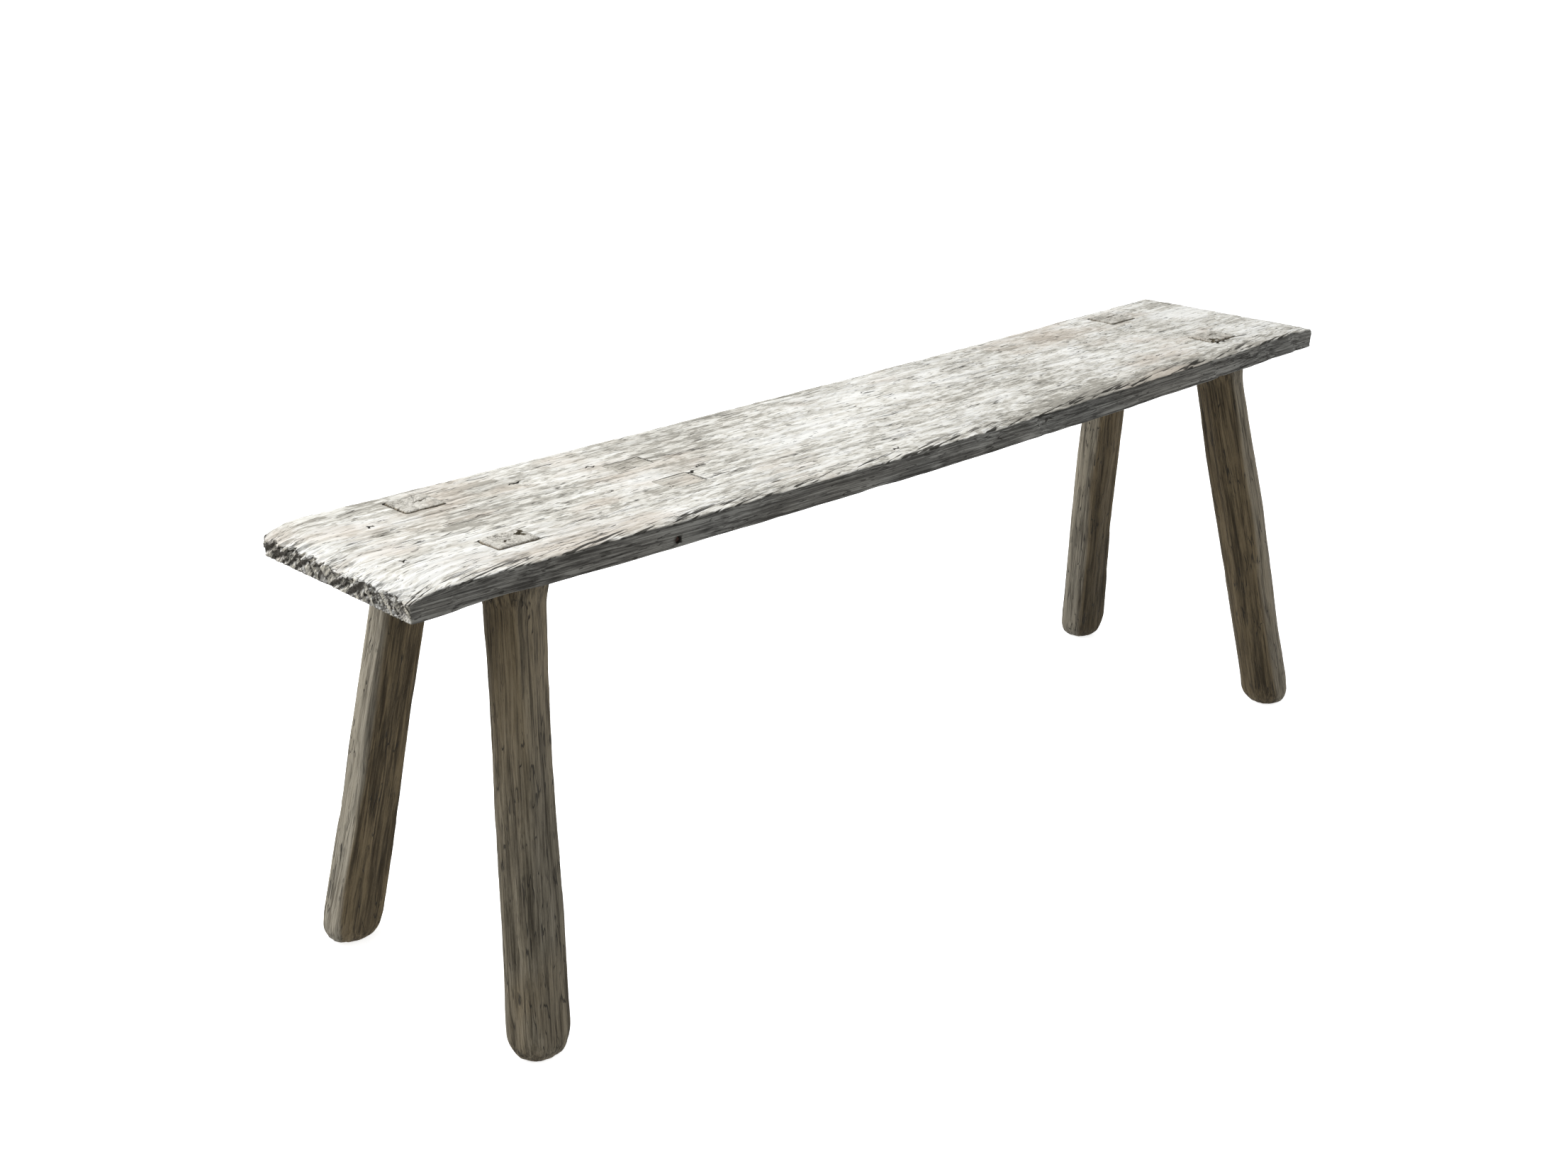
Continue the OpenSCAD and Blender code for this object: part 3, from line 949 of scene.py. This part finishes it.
def linear(code):
    parts = [int(code[k:k + 2], 16) / 255 for k in (1, 3, 5)]
    return tuple(v / 12.92 if v <= 0.04045 else ((v + 0.055) / 1.055) ** 2.4 for v in parts) + (1.0,)


# fibres, bands and drying cracks along the grain, shared by all the wood
def makeStreaksGroup():
    tree, given, sink = newTree("wood streaks", "ShaderNodeTree", {
        "Grain": (0, 0, 0), "Fibre Width": 0.0016, "Fibre Length": 0.06,
        "Band Width": 0.011, "Band Length": 0.3,
        "Crack Width": 0.007, "Crack Length": 0.11, "Crack Share": 0.56,
    }, ["Fibre", "Band", "Crack", "Tick", "Height"])
    along, across, deep = partsOf(tree, given["Grain"])

    def streak(length, width, shift=0.0, detail=1.0, **settings):
        place = vectorOf(tree, along / length + shift, across / width + shift * 2.3, deep / width - shift)
        return noiseOf(tree, place, detail=detail, **settings)

    fibre = streak(given["Fibre Length"], given["Fibre Width"], detail=3.0, roughness=0.6)
    band = streak(given["Band Length"], given["Band Width"], 5.3, detail=2.5, roughness=0.55, distortion=0.3)
    line = streak(given["Crack Length"], given["Crack Width"], 11.9)
    gaping = streak(given["Crack Length"] * 0.7, given["Crack Width"] * 3.0, 17.1)
    parted = stepUp(tree, gaping, given["Crack Share"], given["Crack Share"] + 0.08)
    crack = stepUp(tree, (line - 0.5).math("ABSOLUTE"), 0.022, 0.006) * parted
    tick = stepUp(tree, streak(0.012, 0.0021, 23.0), 0.66, 0.7)
    return endGroup(tree, sink, {
        "Fibre": fibre, "Band": band, "Crack": crack, "Tick": tick,
        "Height": (fibre - 0.5) * 0.5 + (band - 0.5) * 0.9 - crack * 0.9 - tick * 0.25,
    })


# cloudy patches of bleaching, grime and pale growth
def makePatchesGroup():
    tree, given, sink = newTree("weather patches", "ShaderNodeTree", {
        "Place": (0, 0, 0), "Size": 0.09, "Stretch": 2.2, "Mottle": 0.008, "Mottle Stretch": 2.6,
    }, ["Patch", "Warm", "Speckle", "Mottle", "Fleck"])
    x, y, z = partsOf(tree, given["Place"])

    def cloud(size, stretch, shift, **settings):
        place = vectorOf(tree, x / (size * stretch) + shift, y / size, z / size + shift)
        return noiseOf(tree, place, **settings)

    size, stretch, mottle = given["Size"], given["Stretch"], given["Mottle"]
    fine = mottle * 0.3
    flecked = vectorOf(tree, x / (mottle * given["Mottle Stretch"] * 0.42), y / fine, z / fine)
    return endGroup(tree, sink, {
        "Patch": cloud(size, stretch, 0.0, detail=4.0, roughness=0.62),
        "Warm": cloud(size * 1.4, stretch, 9.1, detail=3.0, roughness=0.6),
        "Speckle": cloud(size * 0.035, stretch, 4.4, detail=3.0, roughness=0.7),
        "Mottle": cloud(mottle, given["Mottle Stretch"], 0.0, detail=2.5, roughness=0.6, distortion=0.6),
        "Fleck": noiseOf(tree, flecked, roughness=0.6),
    })


streaksGroup, patchesGroup = makeStreaksGroup(), makePatchesGroup()


def mixed(tree, share, a, b):
    made = addNode(tree, "ShaderNodeMix", data_type="RGBA")
    for socket, value in ((0, share), (6, a), (7, b)):
        plug(tree, value, made.inputs[socket])
    return out(tree, made, 2)


# three colours from dark to pale
def ramped(tree, tone, low, middle, high):
    lower = mixed(tree, stepUp(tree, tone, 0.0, 0.5), low, middle)
    return mixed(tree, stepUp(tree, tone, 0.5, 1.0), lower, high)


def newMaterial(name):
    material = bpy.data.materials.new(name)
    material.use_nodes = True
    return material, material.node_tree, material.node_tree.nodes["Principled BSDF"]


def objectPlace(tree):
    return out(tree, tree.nodes.new("ShaderNodeTexCoord"), "Object")


def makeWood(name, look):
    material, tree, shader = newMaterial(name)

    def trait(label, kind="Fac"):
        return out(tree, addNode(tree, "ShaderNodeAttribute", attribute_name=label), kind)

    grain = trait("grain", "Vector")
    bleachAndShade, hollow, wash, endFace, cut, margin, tan, paintedLitSide, deep, hole = (trait(label) for label in (
        "bleachAndShade", "hollow", "wash", "endFace", "cut", "margin", "tan", "paintedLitSide", "deep", "hole"))
    streaks = addNode(tree, "ShaderNodeGroup", node_tree=streaksGroup)
    patches = addNode(tree, "ShaderNodeGroup", node_tree=patchesGroup)
    settings = [(streaks, "Grain", grain), (patches, "Place", grain)]
    settings += [(streaks, label, value) for label, value in look["streaks"].items()]
    settings += [(patches, label, value) for label, value in look["patches"].items()]
    for group, label, value in settings:
        plug(tree, value, group.inputs[label])
    fibre, band, crack, tick, height = (out(tree, streaks, k) for k in range(5))
    patch, warm, speckle, mottle, fleck = (out(tree, patches, k) for k in range(5))

    # the body: grey-brown fibres, warmer and paler in places, with a painted highlight on one flank of each
    # leg
    tone = ((fibre - 0.5) * look["fibreShare"] + (band - 0.5) * look["bandShare"]
            + (speckle - 0.5) * look["speckleShare"])
    shadeTone = stepUp(tree, tone + (patch - 0.5) * look["patchShare"], -0.42, 0.42)
    shade = ramped(tree, shadeTone, look["shadeLow"], look["shadeMid"], look["shadeHigh"])
    warmShare = (stepUp(tree, warm, 0.4, 0.66) * look["warmth"]).math("MAXIMUM", tan * 0.75)
    warmShade = mixed(tree, stepUp(tree, shadeTone, 0.1, 0.9), look["warmLow"], look["warm"])
    shade = mixed(tree, deep, mixed(tree, warmShare, shade, warmShade), look["deepShade"])
    litSideShare = paintedLitSide * stepUp(tree, fibre + band * 0.6, 0.6, 0.86, 0.45, 1.0)
    shade = mixed(tree, litSideShare, shade, look["paintedLitSide"])
    px, py, pz = partsOf(tree, objectPlace(tree))
    # slashes lean one way by the front corner and cross one another behind it; the end faces get a painted
    # highlight, strongest on the ridges, and painted shade in the slashes
    crossing = stepUp(tree, py, -0.07, -0.03)
    downSlash = vectorOf(tree, (py + pz * 0.9) / 0.0034, (pz - py * 0.8) / 0.03, 3.1)
    upSlash = vectorOf(tree, (py - pz * 0.8) / 0.0027, (pz + py * 0.8) / 0.05, 7.7)
    downSlash, upSlash = (noiseOf(tree, place, detail=0.6) for place in (downSlash, upSlash))
    fine = upSlash + (downSlash - upSlash) * crossing - 0.5
    slashed = stepUp(tree, cut + fine * 0.4, 0.2, 0.46)
    ridgeLit = stepUp(tree, cut + fine * 0.8, 0.12, -0.06)
    shade = mixed(tree, endFace * (0.42 + ridgeLit * 0.58) * (1.0 - slashed), shade, look["endHighlight"])
    shade = mixed(tree, slashed * endFace * 0.8, shade, look["endGrooveShade"])
    # the top, pale from sun-bleaching, against sides kept darker partly as painted shade; its washes and its
    # blush
    crispMottle, crispFleck = stepUp(tree, mottle, 0.44, 0.56), stepUp(tree, fleck, 0.42, 0.56)
    paleTone = ((fibre - 0.5) * look["paleFibre"] + (crispMottle - 0.5) * look["paleMottle"]
                + (crispFleck - 0.5) * look["paleFleck"] + (patch - 0.5) * look["palePatch"] + wash)
    paleTone = stepUp(tree, paleTone, -0.75, 0.75)
    pale = ramped(tree, paleTone, look["paleLow"], look["paleMid"], look["paleHigh"])
    pale = mixed(tree, stepUp(tree, warm, 0.52, 0.68) * look["blush"], pale, look["paleWarm"])
    # cracks, painted shade in grooves, splinters along the rims, and painted shade in the insides of holes
    splinter = vectorOf(tree, (px + py * 0.2) / 0.04, (py - px * 0.22) / 0.0034, pz / 0.012)
    splinter = noiseOf(tree, splinter, detail=1.5)
    dark = (crack * look["crackDark"]).math("MAXIMUM", tick * look["tickDark"])
    dark = dark.math("MAXIMUM", hollow * look["grooveShade"], clamp=True)
    dark = dark * (1.0 - bleachAndShade * look["bleachedCracks"])
    for more in (stepUp(tree, splinter, 0.55, 0.62) * margin * look["splinters"], hole * 0.92):
        dark = dark.math("MAXIMUM", more, clamp=True)
    colour = mixed(tree, dark, mixed(tree, bleachAndShade, shade, pale), look["crackColour"])
    relief = height + (speckle - 0.5) * 0.5 - splinter * margin - slashed * endFace * 1.8
    bump = addNode(tree, "ShaderNodeBump", {"Strength": look["bump"], "Distance": 0.001, "Height": relief})
    for label, value in (("Base Color", colour), ("Roughness", stepUp(tree, tone, -0.4, 0.4, *look["rough"])),
                         ("Normal", out(tree, bump)), ("Specular IOR Level", look["sheen"])):
        plug(tree, value, shader.inputs[label])
    return material


plankLook = {
    "streaks": {"Fibre Width": 0.0013, "Fibre Length": 0.07, "Band Width": 0.0034, "Band Length": 0.2,
                "Crack Width": 0.006, "Crack Length": 0.06, "Crack Share": 0.56},
    "patches": {"Size": 0.06, "Stretch": 2.0, "Mottle": 0.0078, "Mottle Stretch": 3.4},
    "fibreShare": 1.6, "bandShare": 1.2, "speckleShare": 0.2, "patchShare": 0.5,
    "shadeLow": linear("#3a3935"), "shadeMid": linear("#6c6b66"), "shadeHigh": linear("#9b9a94"),
    "warm": linear("#746c5e"), "warmLow": linear("#48423a"), "warmth": 0.25,
    "endHighlight": linear("#d0cabb"), "endGrooveShade": linear("#453f37"),
    "paintedLitSide": linear("#aaa393"), "deepShade": linear("#2b2519"),
    "paleFibre": 1.05, "paleMottle": 0.5, "paleFleck": 0.36, "palePatch": 2.1,
    # next: the colour of the painted highlight on a leg's lit flank, and the dark colour the legs are mixed
    # towards
    "paleLow": linear("#a8a49a"), "paleMid": linear("#dfdcd3"), "paleHigh": linear("#f5f4ef"),
    "paleWarm": linear("#d2c5b6"), "blush": 0.5, "splinters": 0.95,
    "crackDark": 0.9, "tickDark": 0.75, "grooveShade": 0.4, "bleachedCracks": 0.1,
    "crackColour": linear("#2b2822"), "rough": (0.95, 0.78), "sheen": 0.3, "bump": 1.0,
}
legLook = dict(plankLook, **{
    "streaks": {"Fibre Width": 0.0013, "Fibre Length": 0.05, "Band Width": 0.006, "Band Length": 0.12,
                "Crack Width": 0.0042, "Crack Length": 0.045, "Crack Share": 0.5},
    "patches": {"Size": 0.05, "Stretch": 2.6, "Mottle": 0.008, "Mottle Stretch": 2.8},
    "fibreShare": 1.2, "bandShare": 1.25,
    "shadeLow": linear("#443e31"), "shadeMid": linear("#756e5e"), "shadeHigh": linear("#968f7f"),
    "warm": linear("#8a7349"), "warmLow": linear("#4a3b22"), "warmth": 0.4,
    "splinters": 0.0, "tickDark": 0.25,
    "paleLow": linear("#a39e94"), "paleMid": linear("#c6c2b8"), "paleHigh": linear("#dedad1"),
    "crackDark": 0.85,
})
plugLook = dict(plankLook, **{
    "paleLow": linear("#999489"), "paleMid": linear("#c9c4b9"), "paleHigh": linear("#dbd7cd"),
    "splinters": 0.0,
    "streaks": {"Fibre Width": 0.0013, "Fibre Length": 0.03, "Band Width": 0.004, "Band Length": 0.08,
                "Crack Width": 0.005, "Crack Length": 0.03, "Crack Share": 0.55},
})


def makeRust(name):
    material, tree, shader = newMaterial(name)
    blotch = noiseOf(tree, objectPlace(tree), scale=900.0, detail=5.0, roughness=0.65)
    pits = noiseOf(tree, objectPlace(tree), scale=2600.0, detail=3.0)
    colour = mixed(tree, stepUp(tree, blotch, 0.35, 0.65), linear("#1c110d"), linear("#4a281a"))
    bump = addNode(tree, "ShaderNodeBump", {"Strength": 0.8, "Distance": 0.0004, "Height": pits})
    for label, value in (("Base Color", colour), ("Roughness", stepUp(tree, blotch, 0.3, 0.7, 0.75, 0.95)),
                         ("Metallic", stepUp(tree, pits, 0.6, 0.4, 0.0, 0.35)), ("Normal", out(tree, bump))):
        plug(tree, value, shader.inputs[label])
    return material


plankWood, plugWood = makeWood("weathered plank", plankLook), makeWood("plug wood", plugLook)
legWood = makeWood("hewn leg", legLook)
rust = makeRust("rusted iron")
weatheringTree, hewnLegTree = makeWeatheringTree(), makeHewnLegTree()


# faces turned up are pale from sun-bleaching, the rest darker partly as painted shade
def bleachAndShadeTop(piece, low=0.2, high=0.75):
    keepOn(piece.data, "bleachAndShade", eased((normalsOf(piece.data)[:, 2] - low) / (high - low)))


def camelName(node):
    return node.replace("_", " ").title().replace(" ", "")


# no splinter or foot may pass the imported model's own box
def keepInside(piece):
    low, high = (np.array(corner) / mm for corner in cadBounds)
    spare = 0.05
    movePoints(piece.data, np.clip(pointsOf(piece.data), low + spare, high - spare))


def finishPiece(piece, material, node):
    keepInside(piece)
    piece.data.materials.clear()
    piece.data.materials.append(material)
    piece.data.polygons.foreach_set("material_index", [0] * len(piece.data.polygons))
    smoothShade(piece)
    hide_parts(node)
    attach(piece, body)
    print(piece.name, "triangles:", sum(len(p.vertices) - 2 for p in piece.data.polygons))


# the seat
seatPiece = makeSeatBlank()
runTree(seatPiece, weatheringTree, {
    "Ridge Depth": 0.00042, "Ridge Width": 0.0055, "Ridge Length": 0.15,
    "Groove Depth": 0.0009, "Groove Width": 0.005, "Groove Length": 0.11, "Groove Share": 0.63,
    "Dent Depth": 0.0006, "Dent Size": 0.026, "Seed": 3.0, "Material": plankWood,
})
cutAway(seatPiece, seatCutters() + [nailHole()])
markSeat(seatPiece)
finishPiece(seatPiece, plankWood, "seat_plank")

# the legs: what differs from one to the next
# each leg's settings also turn and size the painted highlight on its flank
legWays = {
    "leg_front_left": {
        "Seed": 1.0, "Turned": 0.35, "Twist": 0.25, "Lip Turn": 2.6, "Lip Reach": 0.007, "Lip Gap": 0.0028,
        "Deep": 0.14, "Tan Low": 0.2, "Tan High": 0.8, "Pale Turn": -1.25, "Pale Share": 0.18,
    },
    "leg_back_left": {
        "Seed": 2.3, "Turned": 0.1, "Twist": -0.3, "Lip Turn": 2.5, "Lip Reach": 0.004, "Lip Gap": 0.001,
        "Deep": 0.17, "Pale Turn": 2.95, "Pale Share": 0.85,
    },
    "leg_front_right": {
        "Seed": 3.7, "Turned": 0.6, "Twist": 0.2, "Lip Turn": 2.7, "Lip Reach": 0.008, "Lip Gap": 0.0028,
        "Deep": 0.42, "Pale Turn": -1.2, "Pale Share": 0.42,
    },
    "leg_back_right": {
        "Seed": 5.2, "Turned": 0.2, "Twist": 0.4, "Lip Turn": -0.7, "Lip Reach": 0.007, "Lip Gap": 0.0005,
        "Deep": 0.7, "Pale Turn": 2.9, "Pale Share": 0.58,
    },
}
for node, facts in legs.items():
    piece = makeLegBlank(camelName(node))
    runTree(piece, hewnLegTree, dict({
        "Foot": tuple(facts["foot"] * mm), "Neck": tuple(facts["neck"] * mm), "Underside": underside * mm,
        "Low Radius": facts["girth"][3] * mm, "High Radius": facts["girth"][4] * mm,
        "Flare": 0.0045, "Flare Height": 0.032, "Toe Wide": 0.013, "Toe Tall": 0.018,
        "Tenon Long": facts["tenon"][0] * mm, "Tenon Wide": facts["tenon"][1] * mm,
        "Hewing": 0.2, "Bend": 0.0015, "Material": legWood,
    }, **legWays[node]))
    runTree(piece, weatheringTree, {
        "Ridge Depth": 0.0004, "Ridge Width": 0.005, "Ridge Length": 0.1,
        "Groove Depth": 0.0008, "Groove Width": 0.0042, "Groove Length": 0.06, "Groove Share": 0.6,
        "Dent Depth": 0.0008, "Dent Size": 0.02, "Seed": legWays[node]["Seed"] * 5, "Material": legWood,
    })
    top = facts["neck"][2]
    cutAway(piece, [splitCutter((x, y, top), (*along, 0), (0, 0, 1), length, width, depth)
                    for (x, y), along, length, width, depth in tenonSplits[node]])
    z = pointsOf(piece.data)[:, 2]
    # the tenon's sides down in the mortise and the insides of its splits get painted shade
    keepOn(piece.data, "hole", unit((top - 2.6 - z) / 1.4) * (z > underside + 3))
    finishPiece(piece, legWood, node)

# the plugs and the nail
for k, (node, (low, high)) in enumerate(plugs.items()):
    piece = makePlug(camelName(node), low, high, 80 + k)
    runTree(piece, weatheringTree, {
        "Ridge Depth": 0.0003, "Ridge Width": 0.004, "Ridge Length": 0.05, "Groove Depth": 0.0005,
        "Groove Width": 0.004, "Groove Length": 0.04, "Dent Depth": 0.0004, "Dent Size": 0.012,
        "Seed": 9.0 + k, "Material": plugWood,
    })
    bleachAndShadeTop(piece)
    finishPiece(piece, plugWood, node)
nailPiece = makeNail()
finishPiece(nailPiece, rust, "nail_stub")


# the room: a pale floor, a bright sky overhead and soft lights
light = {
    "sky": 0.55, "low": 0.42, "floor": "#ffffff", "floorGlow": 0.75,
    "lamps": {"key": (150.0, 2.4, (-1.9, 2.2, 3.1)), "fill": (14.0, 2.0, (2.6, -2.4, 1.0))},
}


def makeRoom():
    mesh = bpy.data.meshes.new("floor")
    mesh.from_pydata([(-30, -30, 0), (30, -30, 0), (30, 30, 0), (-30, 30, 0)], [], [(0, 1, 2, 3)])
    floor = addObject("floor", mesh)
    material, _, shader = newMaterial("pale floor")
    for label, value in (("Base Color", linear(light["floor"])), ("Roughness", 0.9),
                         ("Emission Color", (1, 1, 1, 1)), ("Emission Strength", light["floorGlow"])):
        shader.inputs[label].default_value = value
    mesh.materials.append(material)
    floor.visible_diffuse = False
    floor.location.z = cadBounds[0][2]
    world = bpy.data.worlds.new("sky")
    world.use_nodes = True
    tree = world.node_tree
    up = partsOf(tree, out(tree, tree.nodes.new("ShaderNodeTexCoord"), "Generated"))[2]
    sky = tree.nodes["Background"].inputs
    plug(tree, stepUp(tree, up, -0.15, 0.7, light["low"], light["sky"]), sky["Strength"])
    sky["Color"].default_value = (0.97, 0.985, 1.0, 1.0)
    bpy.context.scene.world = world
    for name, (power, size, place) in light["lamps"].items():
        data = bpy.data.lights.new(name, "AREA")
        data.energy, data.size = power, size
        lamp = addObject(name, data)
        lamp.location = place
        lamp.rotation_mode = "QUATERNION"
        lamp.rotation_quaternion = (Vector((0, 0, 0.35)) - Vector(place)).to_track_quat("-Z", "Y")
    bpy.context.scene.view_settings.view_transform = "Standard"


makeRoom()
